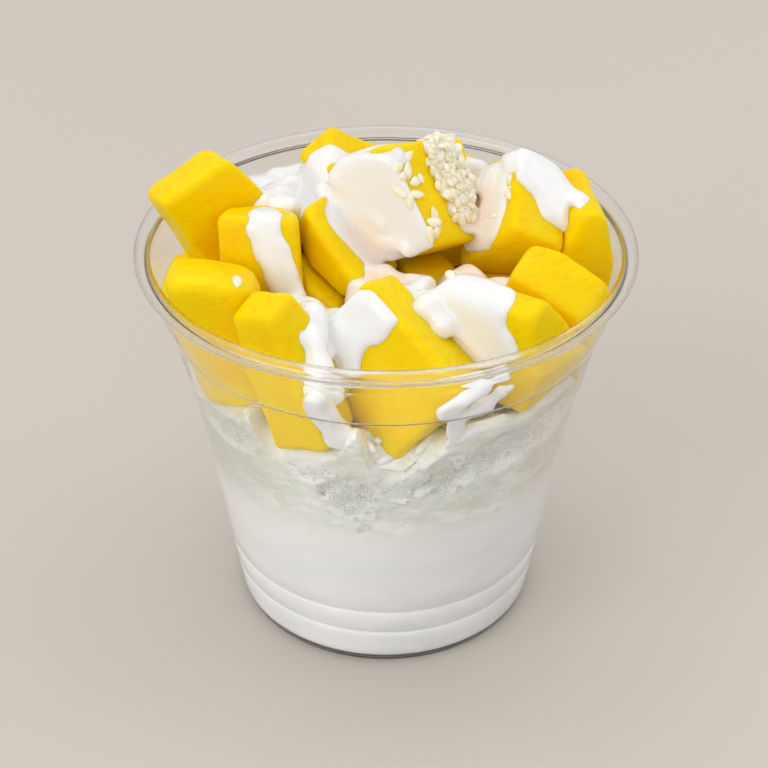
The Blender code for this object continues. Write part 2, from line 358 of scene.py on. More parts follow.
def cream_material():
    made, tree, shader = new_material("coconut_cream_smooth")
    cloud = noise(tree, (0.08, 0.08, 0.16), 4.0, 0.6)
    upward = spread(tree, along(tree, "Z"), 2.0, 30.0)
    base = mix(tree, upward, rgb(250, 250, 250), MILK_WHITE)
    colour = mix(tree, spread(tree, cloud, 0.4, 0.65), base, rgb(243, 244, 243))
    tree.links.new(colour, shader.inputs["Base Color"])
    tree.links.new(spread(tree, cloud, -0.9, 1.6), shader.inputs["Roughness"])
    bump(tree, shader, noise(tree, (0.6, 0.6, 0.6), 3.0), 0.15, 0.1)
    return made


def rice_material():
    made, tree, shader = new_material("rice_in_coconut_milk")
    streaks = noise(tree, (0.13, 0.13, 0.3), 6.0, 0.62, 0.6)
    wisps = noise(tree, (0.32, 0.32, 0.7), 5.0, 0.6, 1.2)
    grains = noise(tree, (0.5, 0.5, 0.9), 2.0, 0.5, 0.4)
    stops = ((0.34, rgb(224, 227, 210)), (0.5, rgb(236, 239, 231)), (0.62, rgb(250, 250, 249)))
    body = ramp(tree, streaks, stops)
    body = mix(tree, spread(tree, wisps, 0.48, 0.7), body, rgb(251, 251, 250))
    body = mix(tree, spread(tree, grains, 0.52, 0.75), body, rgb(228, 231, 219))
    across = along(tree, "X")
    # painted shade: the left side of the rice, towards x = -36, is darkened and greyed as on its shadowed
    # side
    body = mix(tree, spread(tree, across, -36.0, -12.0), mix(tree, 0.7, body, rgb(205, 208, 192)), body)
    # painted reflection: the right side of the rice is warmed to beige, for a warm floor reflected through
    # the wall
    body = mix(tree, spread(tree, across, 16.0, 38.0), body, mix(tree, 0.5, body, rgb(226, 212, 188)))
    level = math_node(tree, "ADD", along(tree, "Z"), math_node(tree, "MULTIPLY", streaks, 14.0))
    colour = mix(tree, spread(tree, level, 37.0, 47.0), MILK_WHITE, body)
    tree.links.new(colour, shader.inputs["Base Color"])
    tree.links.new(spread(tree, wisps, -1.2, 1.4), shader.inputs["Roughness"])
    bump(tree, shader, grains, 0.35, 0.4)
    return made


def grain_material():
    made, tree, shader = new_material("sticky_rice_grain")
    cloud = noise(tree, (0.35, 0.35, 0.35), 3.0)
    colour = ramp(tree, cloud, ((0.35, rgb(232, 234, 222)), (0.65, rgb(250, 250, 248))))
    tree.links.new(colour, shader.inputs["Base Color"])
    tree.links.new(spread(tree, cloud, -0.6, 1.6), shader.inputs["Roughness"])
    soft_inside(shader, 0.7, (1.0, 1.0, 0.9), 1.5)
    bump(tree, shader, noise(tree, (2.0, 2.0, 2.0), 2.0), 0.15, 0.1)
    return made


def mango_material():
    made, tree, shader = new_material("ripe_mango")
    patches = noise(tree, (0.09, 0.09, 0.09), 3.0, 0.5)
    fibres = noise(tree, (0.35, 0.35, 1.6), 4.0, 0.6, 0.8)
    stops = ((0.3, rgb(250, 206, 0)), (0.5, rgb(250, 213, 0)), (0.7, rgb(249, 219, 0)))
    flesh = ramp(tree, patches, stops)
    flesh = mix(tree, spread(tree, fibres, 0.46, 0.74), flesh, rgb(248, 197, 0))
    tree.links.new(flesh, shader.inputs["Base Color"])
    tree.links.new(spread(tree, fibres, -0.7, 1.9), shader.inputs["Roughness"])
    shader.inputs["Specular IOR Level"].default_value = 0.05
    shader.inputs["Coat Weight"].default_value = 0.14
    shader.inputs["Coat Roughness"].default_value = 0.16
    soft_inside(shader, 0.5, (1.0, 0.6, 0.05), 2.2)
    bump(tree, shader, fibres, 0.15, 0.1)
    return made


def sauce_material():
    """White where it is thick, yellow where it is thin, and painted pink where light through the mango warms
    it.
    """
    made, tree, shader = new_material("coconut_sauce")
    depth = add(tree, "ShaderNodeAttribute", attribute_name="depth").outputs["Fac"]
    cloud = noise(tree, (0.25, 0.25, 0.25), 4.0)
    uneven = math_node(tree, "ADD", depth, math_node(tree, "MULTIPLY", cloud, 0.3))
    stops = (
        (0.05, rgb(247, 200, 80)),
        (0.13, rgb(242, 214, 168)),
        (0.22, rgb(241, 233, 226)),
        (0.36, rgb(243, 243, 243)),
    )
    painted_pink_light = add(tree, "ShaderNodeAttribute", attribute_name="painted_pink_light").outputs["Fac"]
    # painted light: the pink that light through the mango gives the sauce, laid on as colour
    colour = mix(tree, painted_pink_light, ramp(tree, uneven, stops), rgb(243, 213, 188))
    tree.links.new(colour, shader.inputs["Base Color"])
    tree.links.new(spread(tree, cloud, -0.3, 2.6), shader.inputs["Roughness"])
    shader.inputs["Coat Weight"].default_value = 0.25
    shader.inputs["Coat Roughness"].default_value = 0.08
    soft_inside(shader, 0.3, (1.0, 0.92, 0.85), 1.0)
    bump(tree, shader, cloud, 0.1, 0.2)
    return made


def seed_material():
    made, tree, shader = new_material("toasted_sesame")
    cloud = noise(tree, (0.5, 0.5, 0.5), 4.0)
    colour = ramp(tree, cloud, ((0.3, rgb(245, 230, 186)), (0.6, rgb(251, 244, 222))))
    tree.links.new(colour, shader.inputs["Base Color"])
    tree.links.new(spread(tree, cloud, -0.6, 1.8), shader.inputs["Roughness"])
    shader.inputs["Coat Weight"].default_value = 0.3
    shader.inputs["Coat Roughness"].default_value = 0.12
    soft_inside(shader, 0.3, (1.0, 0.8, 0.5), 0.8)
    bump(tree, shader, noise(tree, (4.0, 4.0, 4.0), 2.0), 0.2, 0.05)
    return made


def floor_material():
    made, tree, shader = new_material("pale_floor")
    cloud = noise(tree, (0.004, 0.004, 0.004), 3.0)
    colour = mix(tree, cloud, rgb(200, 191, 180), rgb(207, 199, 189))
    tree.links.new(colour, shader.inputs["Base Color"])
    shader.inputs["Roughness"].default_value = 0.75
    return made


# ---------------------------------------------------------------- mesh helpers


def mesh_piece(name, points, faces, material, nodes=()):
    """A piece from points in millimetres. It rides on the body and stands for the named CAD nodes."""
    mesh = bpy.data.meshes.new(name)
    mesh.from_pydata((np.asarray(points, float) * MM).tolist(), [], [list(map(int, f)) for f in faces])
    mesh.materials.append(material)
    mesh.shade_smooth()
    piece = bpy.data.objects.new(name, mesh)
    bpy.context.scene.collection.objects.link(piece)
    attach(piece, "root")
    if nodes:
        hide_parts(*nodes)
    return piece


def outer_radius(z):
    line = np.array(WALL_LINE)
    slope = (line[-1, 1] - line[-2, 1]) / (line[-1, 0] - line[-2, 0])
    radius = np.interp(z, line[:, 0], line[:, 1]) + np.maximum(z - line[-1, 0], 0.0) * slope
    step = np.clip((z - STEP_Z) / 0.6, 0.0, 1.0)
    return radius + STEP_OUT * step


def inner_radius(z):
    return outer_radius(z) - WALL


def dent(z):
    """How far the bands near the foot pull the wall in."""
    total = np.zeros_like(np.asarray(z, float))
    for groove in GROOVES:
        away = np.clip(np.abs(z - groove) / GROOVE_HALF_HEIGHT, 0.0, 1.0)
        total = total + GROOVE_DEPTH * 0.5 * (1.0 + np.cos(math.pi * away))
    return total


def turned(profile, steps):
    """Points and faces of a closed profile of (radius, height) turned about Z. Its ends are on the axis."""
    around = np.linspace(0.0, 2.0 * math.pi, steps, endpoint=False)
    points, faces = [(0.0, 0.0, profile[0][1])], []
    rings = profile[1:-1]
    for radius, z in rings:
        points += [(radius * math.cos(a), radius * math.sin(a), z) for a in around]
    points.append((0.0, 0.0, profile[-1][1]))
    last = len(points) - 1
    for k in range(steps):
        n = (k + 1) % steps
        faces.append((0, 1 + k, 1 + n))
        for row in range(len(rings) - 1):
            a, b = 1 + row * steps, 1 + (row + 1) * steps
            faces.append((a + k, b + k, b + n, a + n))
        top = 1 + (len(rings) - 1) * steps
        faces.append((last, top + n, top + k))
    return np.array(points), faces


def capped(steps, rows):
    """Faces of a closed form that has a point at each end and rows of points between them."""
    faces, last = [], steps * rows + 1
    for k in range(steps):
        n = (k + 1) % steps
        faces.append((0, 1 + n, 1 + k))
        for row in range(rows - 1):
            a, b = 1 + row * steps, 1 + (row + 1) * steps
            faces.append((a + k, a + n, b + n, b + k))
        a = 1 + (rows - 1) * steps
        faces.append((last, a + k, a + n))
    return faces


def ring(radius, height, thick, steps, sides):
    """A hollow ring seen from inside: the air in the rolled rim."""
    points, faces = [], []
    for k in range(steps):
        a = 2.0 * math.pi * k / steps
        for side in range(sides):
            b = 2.0 * math.pi * side / sides
            r = radius + thick * math.cos(b)
            points.append((r * math.cos(a), r * math.sin(a), height + thick * math.sin(b)))
            n, m = (k + 1) % steps, (side + 1) % sides
            faces.append((k * sides + side, k * sides + m, n * sides + m, n * sides + side))
    return np.array(points), faces


def keep_edges(piece, degrees):
    piece.data.set_sharp_from_angle(angle=math.radians(degrees))


def face_outward(piece):
    bm = bmesh.new()
    bm.from_mesh(piece.data)
    bmesh.ops.recalc_face_normals(bm, faces=bm.faces)
    bm.to_mesh(piece.data)
    bm.free()


def ripple(x, y, z, wavelength, seed, waves=9):
    """Smooth noise of about unit size, from a few plane waves."""
    rng = np.random.default_rng(seed)
    total = 0.0
    for _ in range(waves):
        way = rng.normal(size=3)
        way *= 2.0 * math.pi / (np.linalg.norm(way) * wavelength * rng.uniform(0.7, 1.4))
        total = total + np.sin(way[0] * x + way[1] * y + way[2] * z + rng.uniform(0.0, 2.0 * math.pi))
    return total / math.sqrt(waves / 2.0)


# ---------------------------------------------------------------- cup and layers


def make_cup(material):
    """The thin clear cup: floor, grooved wall, step, flange line and rolled rim."""
    reach = np.linspace(-GROOVE_HALF_HEIGHT, GROOVE_HALF_HEIGHT, 9)
    fine = [groove + d for groove in GROOVES for d in reach]
    coarse = [3.0, 5.0, 11.0, 18.0, 26.0, 33.0, 39.5, 45.0, 50.0, 56.0, 61.2, 63.6]
    step = [STEP_Z + d for d in (-0.1, 0.1, 0.3, 0.5, 0.8)]
    heights = np.array(sorted([*fine, *coarse, *step, 67.0, 70.0, 72.2, 72.6, 73.0, 73.4, 73.8, 75.0]))
    ridge = LINE_HEIGHT * np.exp(-(((heights - LINE_Z) / LINE_HALF) ** 2))
    inside = [(inner_radius(z) - dent(z), z) for z in heights if z < 75.0]
    outside = [(outer_radius(z) - dent(z) + r, z) for z, r in zip(heights, ridge)]
    bead_z = CUP_HEIGHT - BEAD_RADIUS
    bead = []
    for degrees in np.linspace(205.0, -115.0, 26):
        a = math.radians(degrees)
        bead.append((BEAD_CENTRE_R + BEAD_RADIUS * math.cos(a), bead_z + BEAD_RADIUS * math.sin(a)))
    foot, ring_in = outer_radius(0.0), outer_radius(0.0) - FOOT_RING
    profile = [(0.0, FLOOR_Z), (9.0, FLOOR_Z), (18.0, FLOOR_Z), (25.5, FLOOR_Z), (27.6, FLOOR_Z + 0.15)]
    profile += [(28.5, FLOOR_Z + 0.7), *inside, *bead, *reversed(outside[:-1])]
    profile += [(29.1, 1.2), (foot + 0.15, 0.4), (foot - 0.25, 0.0), (ring_in, 0.0)]
    profile += [(ring_in - 0.4, 0.3), (ring_in - 0.8, FOOT_RECESS), (15.0, FOOT_RECESS), (0.0, FOOT_RECESS)]
    points, faces = turned(profile, CUP_STEPS)
    curl_points, curl_faces = ring(BEAD_CENTRE_R, bead_z, BEAD_RADIUS - CURL_WALL, CUP_STEPS, 16)
    faces += [tuple(i + len(points) for i in f) for f in curl_faces]
    points = np.concatenate((points, curl_points))
    keep_edges(mesh_piece("clear_cup", points, faces, material, ["cup"]), 50.0)


def make_cream(material):
    """Smooth coconut cream from the cup's floor up, reaching just into the wall."""
    bands = np.linspace(7.4, 8.8, 7), np.linspace(13.1, 14.5, 7)
    heights = [2.6, 4.0, 6.0, *bands[0], 11.0, *bands[1], 18.0, 22.0, 26.0]
    wall = [(float(inner_radius(z) - dent(z)) + INTO_WALL, float(z)) for z in heights]
    wall.append((float(inner_radius(RICE_LOW)) + INTO_WALL, RICE_LOW))
    top = CREAM_TOP - 0.2
    low = FLOOR_Z - 0.25
    profile = [(0.0, low), (14.0, low), (27.0, low), (28.6, low + 0.15), (28.85, low + 0.5), *wall]
    profile.append((float(inner_radius(top)) + INTO_WALL - 0.09, top))
    profile += [(33.0, CREAM_TOP), (18.0, CREAM_TOP), (0.0, CREAM_TOP)]
    points, faces = turned(profile, 160)
    piece = mesh_piece("coconut_cream_layer", points, faces, material, ["coconut_cream"])
    face_outward(piece)
    keep_edges(piece, 35.0)


def rice_height(x, y):
    """The rice's uneven top, as the CAD has it."""
    lumps = np.sin(0.21 * x + 1.1) * np.cos(0.19 * y - 0.4) + 0.5 * np.sin(0.43 * y + 0.31 * x)
    return RICE_TOP + 1.3 * lumps + 0.02 * y - 0.03 * x


# Where the rice stands off the wall: angle from the front towards the right in degrees, height, half sizes,
# and depth
HOLLOWS = (
    (-11, 45, 9, 6, 1.0),
    (-20, 51, 10, 4, 1.1),
    (5, 49, 8, 5, 1.1),
    (18, 50, 8, 5, 1.2),
    (34, 52, 12, 5, 1.4),
    (52, 53, 12, 5, 1.2),
    (-50, 52, 14, 4, 1.2),
    (110, 52, 30, 4, 1.0),
    (190, 52, 40, 4, 1.2),
    (-110, 51, 30, 4, 1.0),
)


def hollow_depth(angle, z):
    """How far the rice stands off the wall, at an angle in degrees from the front and a height."""
    total = np.zeros_like(z * angle)
    for at, height, wide, tall, deep in HOLLOWS:
        away = (angle - at + 180.0) % 360.0 - 180.0
        fall = np.clip(1.0 - (away / wide) ** 2 - ((z - height) / tall) ** 2, 0.0, 1.0)
        total = np.maximum(total, deep * fall * (2.0 - fall))
    return total


def edge_heights(heap, around):
    """How high the rice climbs the wall at each angle: up to the underside of the cubes there."""
    heights = np.arange(EDGE_LOW, EDGE_HIGH, 0.25)
    found = []
    for a in around:
        lowest = EDGE_HIGH
        for depth in EDGE_PROBES:
            radius = inner_radius(heights) - depth
            spots = np.column_stack((radius * math.cos(a), radius * math.sin(a), heights))
            mango = heights[sampled(heap, spots) < 0.3]
            if len(mango):
                lowest = min(lowest, mango.min() - 0.3 + 0.4 * max(0.0, depth - 2.0))
        found.append(lowest)
    lowest = np.min([np.roll(found, k) for k in (-1, 0, 1)], axis=0)
    return sum(np.roll(lowest, k) for k in (-1, 0, 1)) / 3.0


def rice_surface(x, y, edge):
    """Height of the rice and milk: uneven in the middle, and at the edge's height by the wall."""
    share = math.hypot(x, y) / (float(inner_radius(RICE_TOP)) - 1.5)
    turn = math.atan2(y, x) / (2.0 * math.pi) % 1.0 * len(edge)
    top = edge[int(round(turn)) % len(edge)]
    z = float(rice_height(x, y)) + 0.45 * float(ripple(x, y, 0.0, 4.5, 8))
    return z + (top - z) * max(0.0, 1.0 - (1.0 - share) * 6.0)


def make_rice_body(material, heap):
    """Coconut milk and rice as one mass, flush with the wall but for hollows. Returns its edge's heights."""
    steps, rows, rings = RICE_STEPS, RICE_ROWS, RICE_RINGS
    around = np.linspace(0.0, 2.0 * math.pi, steps, endpoint=False)
    points = [(0.0, 0.0, RICE_LOW)]
    edge = edge_heights(heap, around)
    for row in range(rows):
        share = row / (rows - 1)
        for a, top in zip(around, edge):
            z = RICE_LOW + (top - RICE_LOW) * share
            angle = math.degrees(a) + 90.0
            x, y = math.cos(a), math.sin(a)
            deep = float(hollow_depth(np.float64(angle), np.float64(z)))
            rough = 0.25 * float(ripple(36 * x, 36 * y, z, 4.0, 3)) if deep > 0.05 else 0.0
            radius = float(inner_radius(z)) + INTO_WALL - deep - max(rough, -0.3) * min(deep, 1.0)
            radius -= 0.1 * max(0.0, 1.0 - (z - RICE_LOW) / 2.0)
            radius -= RICE_ROUNDING * max(0.0, 1.0 - (top - z) / RICE_ROUNDED) ** 2
            points.append((radius * x, radius * y, z))
    for inward in range(1, rings):
        share = 1.0 - inward / rings
        for a in around:
            radius = (float(inner_radius(RICE_TOP)) - 1.5) * share
            x, y = radius * math.cos(a), radius * math.sin(a)
            points.append((x, y, rice_surface(x, y, edge)))
    points.append((0.0, 0.0, float(rice_height(0.0, 0.0))))
    faces = capped(steps, rows + rings - 1)
    piece = mesh_piece("rice_and_milk", points, faces, material, ["sticky_rice"])
    face_outward(piece)
    keep_edges(piece, 60.0)
    return edge


def blob(rings, steps):
    """Unit ball as points and faces, used for grains, seeds and drops."""
    points = [(0.0, 0.0, -1.0)]
    for row in range(1, rings):
        tilt = math.pi * row / rings
        for k in range(steps):
            a = 2.0 * math.pi * k / steps
            points.append((math.sin(tilt) * math.cos(a), math.sin(tilt) * math.sin(a), -math.cos(tilt)))
    points.append((0.0, 0.0, 1.0))
    return np.array(points), capped(steps, rings - 1)


def gathered(copies):
    """One mesh from many (points, faces) copies."""
    points, faces, start = [], [], 0
    for these, their in copies:
        points.append(these)
        faces += [tuple(i + start for i in f) for f in their]
        start += len(these)
    return np.concatenate(points), faces


def frame_on(normal, turn):
    """Three axes with the last along the normal, turned about it."""
    normal = np.asarray(normal, float) / np.linalg.norm(normal)
    side = np.cross(normal, (0.0, 0.0, 1.0) if abs(normal[2]) < 0.9 else (1.0, 0.0, 0.0))
    side /= np.linalg.norm(side)
    other = np.cross(normal, side)
    c, s = math.cos(turn), math.sin(turn)
    return np.array((c * side + s * other, -s * side + c * other, normal))


def make_grains(material, edge):
    """Grains of sticky rice, half sunk in the milk at the wall's hollows and over the top."""
    rng = np.random.default_rng(11)
    unit, faces = blob(7, 8)
    copies = []
    for _ in range(GRAINS_AT_WALL):
        angle = rng.uniform(0.0, 360.0)
        z = rng.uniform(41.0, 49.0)
        deep = float(hollow_depth(np.float64(angle), np.float64(z)))
        a = math.radians(angle - 90.0)
        out = np.array((math.cos(a), math.sin(a), 0.0))
        radius = float(inner_radius(z)) - deep - 1.0
        axes = frame_on(out, rng.uniform(0.0, math.pi))
        size = np.array((rng.uniform(*GRAIN_HALF_LENGTH), rng.uniform(*GRAIN_HALF_WIDTH), 0.85))
        copies.append(((unit * size) @ axes + out * radius + np.array((0.0, 0.0, z)), faces))
    for _ in range(GRAINS_ON_TOP):
        radius = 35.0 * math.sqrt(rng.uniform(0.0, 1.0))
        a = rng.uniform(0.0, 2.0 * math.pi)
        x, y = radius * math.cos(a), radius * math.sin(a)
        normal = (rng.normal(0.0, 0.35), rng.normal(0.0, 0.35), 1.0)
        axes = frame_on(normal, rng.uniform(0.0, math.pi))
        size = np.array((rng.uniform(*GRAIN_HALF_LENGTH), rng.uniform(*GRAIN_HALF_WIDTH), 0.9))
        z = rice_surface(x, y, edge) + rng.uniform(-0.7, 0.0)
        placed = (unit * size) @ axes + np.array((x, y, z))
        reach = np.hypot(placed[:, 0], placed[:, 1]).max()
        if reach < inner_radius(z) - 1.2:
            copies.append((placed, faces))
    points, faces = gathered(copies)
    mesh_piece("rice_grains", points, faces, material, ["sticky_rice"])


# ---------------------------------------------------------------- distance fields


def window(low, high):
    """The grid's slices that hold a box, and the coordinates in them."""
    slices, coords = [], []
    for axis in range(3):
        first = max(0, int((low[axis] - GRID_LOW[axis]) / CELL))
        last = min(GRID_CELLS[axis], int((high[axis] - GRID_LOW[axis]) / CELL) + 2)
        slices.append(slice(first, last))
        coords.append(GRID_LOW[axis] + CELL * np.arange(first, last))
    x, y, z = coords
    return tuple(slices), (x[:, None, None], y[None, :, None], z[None, None, :])


def blurred(field, sigma):
    """Gaussian blur, with sigma in millimetres."""
    sigma /= CELL
    reach = max(1, int(math.ceil(3.0 * sigma)))
    weights = np.exp(-0.5 * (np.arange(-reach, reach + 1) / sigma) ** 2)
    weights /= weights.sum()
    for axis in range(3):
        pad = [(0, 0)] * 3
        pad[axis] = (reach, reach)
        wide = np.pad(field, pad, mode="edge")
        total = np.zeros_like(field)
        for k, weight in enumerate(weights):
            part = [slice(None)] * 3
            part[axis] = slice(k, k + field.shape[axis])
            total += np.float32(weight) * wide[tuple(part)]
        field = total
    return field


def wall_field(x, y, z, gap):
    """Below zero inside the cup. It stops mattering above the rim."""
    radius = np.hypot(x, y)
    by_wall = radius - (inner_radius(z) - gap)
    by_rim = radius - (BEAD_CENTRE_R - BEAD_RADIUS - gap) - 0.2 * (z - 74.0)
    return np.where(z > CUP_HEIGHT - 5.0, by_rim, by_wall) * 0.97


def cube_sides(node):
    """The planes of a CAD solid's sides, moved out to its furthest corner, as rows of normal and offset.

    Sides pressed to the wall are left out, since wall_field cuts the cube there. The first result also leaves
    out the narrow facets along the CAD's bevels.
    """
    mesh = frame["nodes"][node].data
    all_corners = np.array([v.co for v in mesh.vertices]) * 1000.0
    broad, every = [], []
    for side in mesh.polygons:
        centre, normal = side.center * 1000.0, side.normal
        radius = math.hypot(centre.x, centre.y)
        outward = centre.x * normal.x + centre.y * normal.y
        away = radius - float(inner_radius(centre.z))
        if away > -0.55 and centre.z < CUP_HEIGHT and outward > 0.9 * radius:
            continue
        row = (*normal, (all_corners @ np.array(normal)).max())
        every.append(row)
        corners = [mesh.vertices[v].co * 1000.0 for v in side.vertices]
        longest = max((a - b).length for a, b in zip(corners, corners[1:] + corners[:1]))
        if 2.0 * side.area * 1e6 / longest >= EDGE_STRIP:
            broad.append(row)
    return [np.unique(np.round(rows, 3), axis=0) for rows in (broad, every)]


def inside_planes(rows, x, y, z):
    """Below zero behind every plane."""
    field = np.full(np.broadcast_shapes(x.shape, y.shape, z.shape), -50.0, np.float32)
    for a, b, c, offset in rows:
        np.maximum(field, (a * x + b * y + c * z - offset).astype(np.float32), out=field)
    return field


def cube_field(node, seed):
    """Distance to a cube, rounded and made a little uneven, in its own window of the grid."""
    low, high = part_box(node)
    low = np.array(low) * 1000.0 - MARGIN
    high = np.array(high) * 1000.0 + MARGIN
    part, (x, y, z) = window(low, high)
    broad, every = cube_sides(node)
    field = np.maximum(inside_planes(broad, x, y, z), inside_planes(every, x, y, z) - EDGE_PROUD)
    field = blurred(field, EDGE_ROUNDING) - 0.1
    uneven = 0.1 * ripple(x, y, z, 13.0, seed) + 0.02 * ripple(x, y, z, 3.0, seed + 100)
    field += uneven.astype(np.float32)
    return part, np.maximum(field, wall_field(x, y, z, 0.06).astype(np.float32))


def meshed(field, low):
    """Points in millimetres and quads of a field's zero surface. The field's first cell is at low."""
    grid = openvdb.FloatGrid(background=FAR)
    grid.copyFromArray(np.pad(field.astype(np.float32), 1, constant_values=FAR))
    points, quads = grid.convertToQuads(isovalue=0.0)
    return points.astype(float) * CELL + (low - CELL), quads


def make_cubes(material):
    """All the mango cubes. Returns the distance to the nearest one over the whole grid."""
    heap = np.full(GRID_CELLS, FAR, np.float32)
    for number, node in enumerate(CUBES):
        part, field = cube_field(node, 20 + number)
        field = np.maximum(field, CUBES_APART - heap[part])
        heap[part] = np.minimum(heap[part], field)
        points, quads = meshed(field, GRID_LOW + CELL * np.array([s.start for s in part]))
        mesh_piece(f"mango_cube_{number + 1:02d}", points, quads, material, [node])
    return heap


def stroke_distance(x, y, z, points):
    """Distance to a chain of straight pieces between points."""
    nearest = None
    for start, end in zip(points, points[1:]):
        start, along = np.array(start, float), np.array(end, float) - np.array(start, float)
        dx, dy, dz = x - start[0], y - start[1], z - start[2]
        share = np.clip((dx * along[0] + dy * along[1] + dz * along[2]) / along.dot(along), 0.0, 1.0)
        gaps = (d - share * step for d, step in zip((dx, dy, dz), along))
        away = np.sqrt(sum(gap ** 2 for gap in gaps))
        nearest = away if nearest is None else np.minimum(nearest, away)
    return nearest


def smooth_step(value):
    value = np.clip(value, 0.0, 1.0)
    return value * value * (3.0 - 2.0 * value)


def sampled(field, points):
    """The field's values at points in millimetres, between cells."""
    at = (points - GRID_LOW) / CELL
    at = np.clip(at, 0.0, np.array(GRID_CELLS) - 1.001)
    base = at.astype(int)
    share = at - base
    total = np.zeros(len(points))
    for corner in range(8):
        pick = np.array(((corner >> 2) & 1, (corner >> 1) & 1, corner & 1))
        weight = np.prod(np.where(pick, share, 1.0 - share), axis=1)
        index = base + pick
        total += weight * field[index[:, 0], index[:, 1], index[:, 2]]
    return total


def make_sauce(material, heap):
    """Coconut sauce: a coat along the strokes that settles into the gaps, and pools."""
    settled = blurred(heap, SAUCE_SETTLES)
    slopes = np.gradient(blurred(heap, 0.7))
    steep = np.sqrt(slopes[0] ** 2 + slopes[1] ** 2 + slopes[2] ** 2) + 1e-6
    slopes = [s / steep for s in slopes]
    thickness = np.zeros(GRID_CELLS, np.float32)
    for number, (thick, half, facing, points) in enumerate(COATS):
        spots = np.array(points, float)
        part, (x, y, z) = window(spots.min(0) - half - 3.0, spots.max(0) + half + 3.0)
        uneven = 0.35 * ripple(x, y, z, 6.0, 60 + number) * min(1.0, half / 4.0)
        away = stroke_distance(x, y, z, points) + uneven
        here = thick * smooth_step((half - away) / COAT_EDGE + 0.5)
        if facing:
            way, least = np.array(facing[:3], float), facing[3]
            way /= np.linalg.norm(way)
            turned_to = sum(w * s[part] for w, s in zip(way, slopes))
            here = here * smooth_step((turned_to - least) / 0.25 + 0.5)
        thickness[part] = np.maximum(thickness[part], here)
    coat = settled + COAT_BIAS - thickness
    coat = np.maximum(coat, 0.02 - thickness)
    pools = np.full(GRID_CELLS, FAR, np.float32)
    for number, (radius, points) in enumerate(POOLS):
        spots = np.array(points, float)
        part, (x, y, z) = window(spots.min(0) - radius - 4.0, spots.max(0) + radius + 4.0)
        away = stroke_distance(x, y, z, points) - radius + 0.3 * ripple(x, y, z, 5.0, 90 + number)
        pools[part] = np.minimum(pools[part], away.astype(np.float32))
    share = np.clip(0.5 + 0.5 * (pools - coat) / SAUCE_BLEND, 0.0, 1.0)
    sauce = pools + (coat - pools) * share - SAUCE_BLEND * share * (1.0 - share)
    sauce = blurred(sauce, 0.4)
    sauce = np.maximum(sauce, -(heap + SAUCE_UNDER))
    _, (x, y, z) = window(GRID_LOW, GRID_LOW + CELL * np.array(GRID_CELLS))
    sauce = np.maximum(sauce, wall_field(x, y, z, 0.04).astype(np.float32))
    points, quads = without_crumbs(*meshed(sauce, GRID_LOW), SAUCE_LEAST_FACES)
    piece = mesh_piece("coconut_sauce_coat", points, quads, material)
    depth = np.clip(sampled(heap, points), 0.0, 2.0)
    # painted light: a pink share at each listed spot, fading out to its radius
    painted_pink_light = np.zeros(len(points))
    for centre, radius, strength in PAINTED_PINK_LIGHT_SPOTS:
        away = np.linalg.norm(points - np.array(centre), axis=1)
        painted_pink_light = np.maximum(painted_pink_light, strength * smooth_step(1.4 * (1.0 - away / radius)))
    for name, values in (("depth", depth), ("painted_pink_light", painted_pink_light)):
        layer = piece.data.attributes.new(name, "FLOAT", "POINT")
        layer.data.foreach_set("value", values.astype(np.float32))
    return piece


def without_crumbs(points, quads, least):
    """Drops loose bits with few faces."""
    group = np.arange(len(points))
    while True:
        low = group[quads].min(axis=1)
        after = group.copy()
        for k in range(4):
            np.minimum.at(after, quads[:, k], low)
        after = after[after]
        if np.array_equal(after, group):
            break
        group = after
    owner = group[quads[:, 0]]
    names, counts = np.unique(owner, return_counts=True)
    keep = np.isin(owner, names[counts >= least])
    quads = quads[keep]
    used, fresh = np.unique(quads, return_inverse=True)
    return points[used], fresh.reshape(quads.shape)


# ---------------------------------------------------------------- seeds and drops


def trees_of(pieces):
    points, faces, start = [], [], 0
    for piece in pieces:
        mesh = piece.data
        co = np.empty(len(mesh.vertices) * 3)
        mesh.vertices.foreach_get("co", co)
        points += (co.reshape(-1, 3) * 1000.0).tolist()
        faces += [[i + start for i in p.vertices] for p in mesh.polygons]
        start += len(mesh.vertices)
    return BVHTree.FromPolygons(points, faces)


# Groups of sesame seeds: centre, the way they face, half sizes across and along, how many, and pile's lift
SEED_GROUPS = (
    ((12.5, 8, 87), (0.7, -0.4, 0.55), (4.4, 7.0), 80, 0.8),
    ((15, 6, 82), (0.7, -0.4, 0.55), (4.2, 3.6), 34, 0.7),
    ((10, 12, 91), (0.3, -0.3, 0.9), (5.6, 2.6), 24, 0.5),
    ((4, 0, 90), (0.1, -0.8, 0.6), (2.4, 5.0), 9, 0.0),
    ((8, -3, 83), (0.3, -0.8, 0.5), (1.8, 3.0), 4, 0.0),
    ((11, -15, 80), (-0.1, -0.2, 1.0), (3.0, 1.6), 9, 0.3),
    ((-26, -20, 80), (0.1, -0.5, 0.85), (0.5, 0.5), 1, 0.0),
    ((16, 9, 78), (0.7, -0.5, 0.5), (2.4, 2.0), 8, 0.3),
)


def sesame():
    """One seed: a flat drop, pointed at one end."""
    points, faces = blob(10, 12)
    along = points[:, 2].copy()
    narrow = 1.0 - 0.38 * np.clip(along, -1.0, 1.0) - 0.12 * along ** 2
    shaped = np.column_stack((along * 1.5, points[:, 0] * 0.88 * narrow, points[:, 1] * 0.5 * narrow))
    return shaped, faces


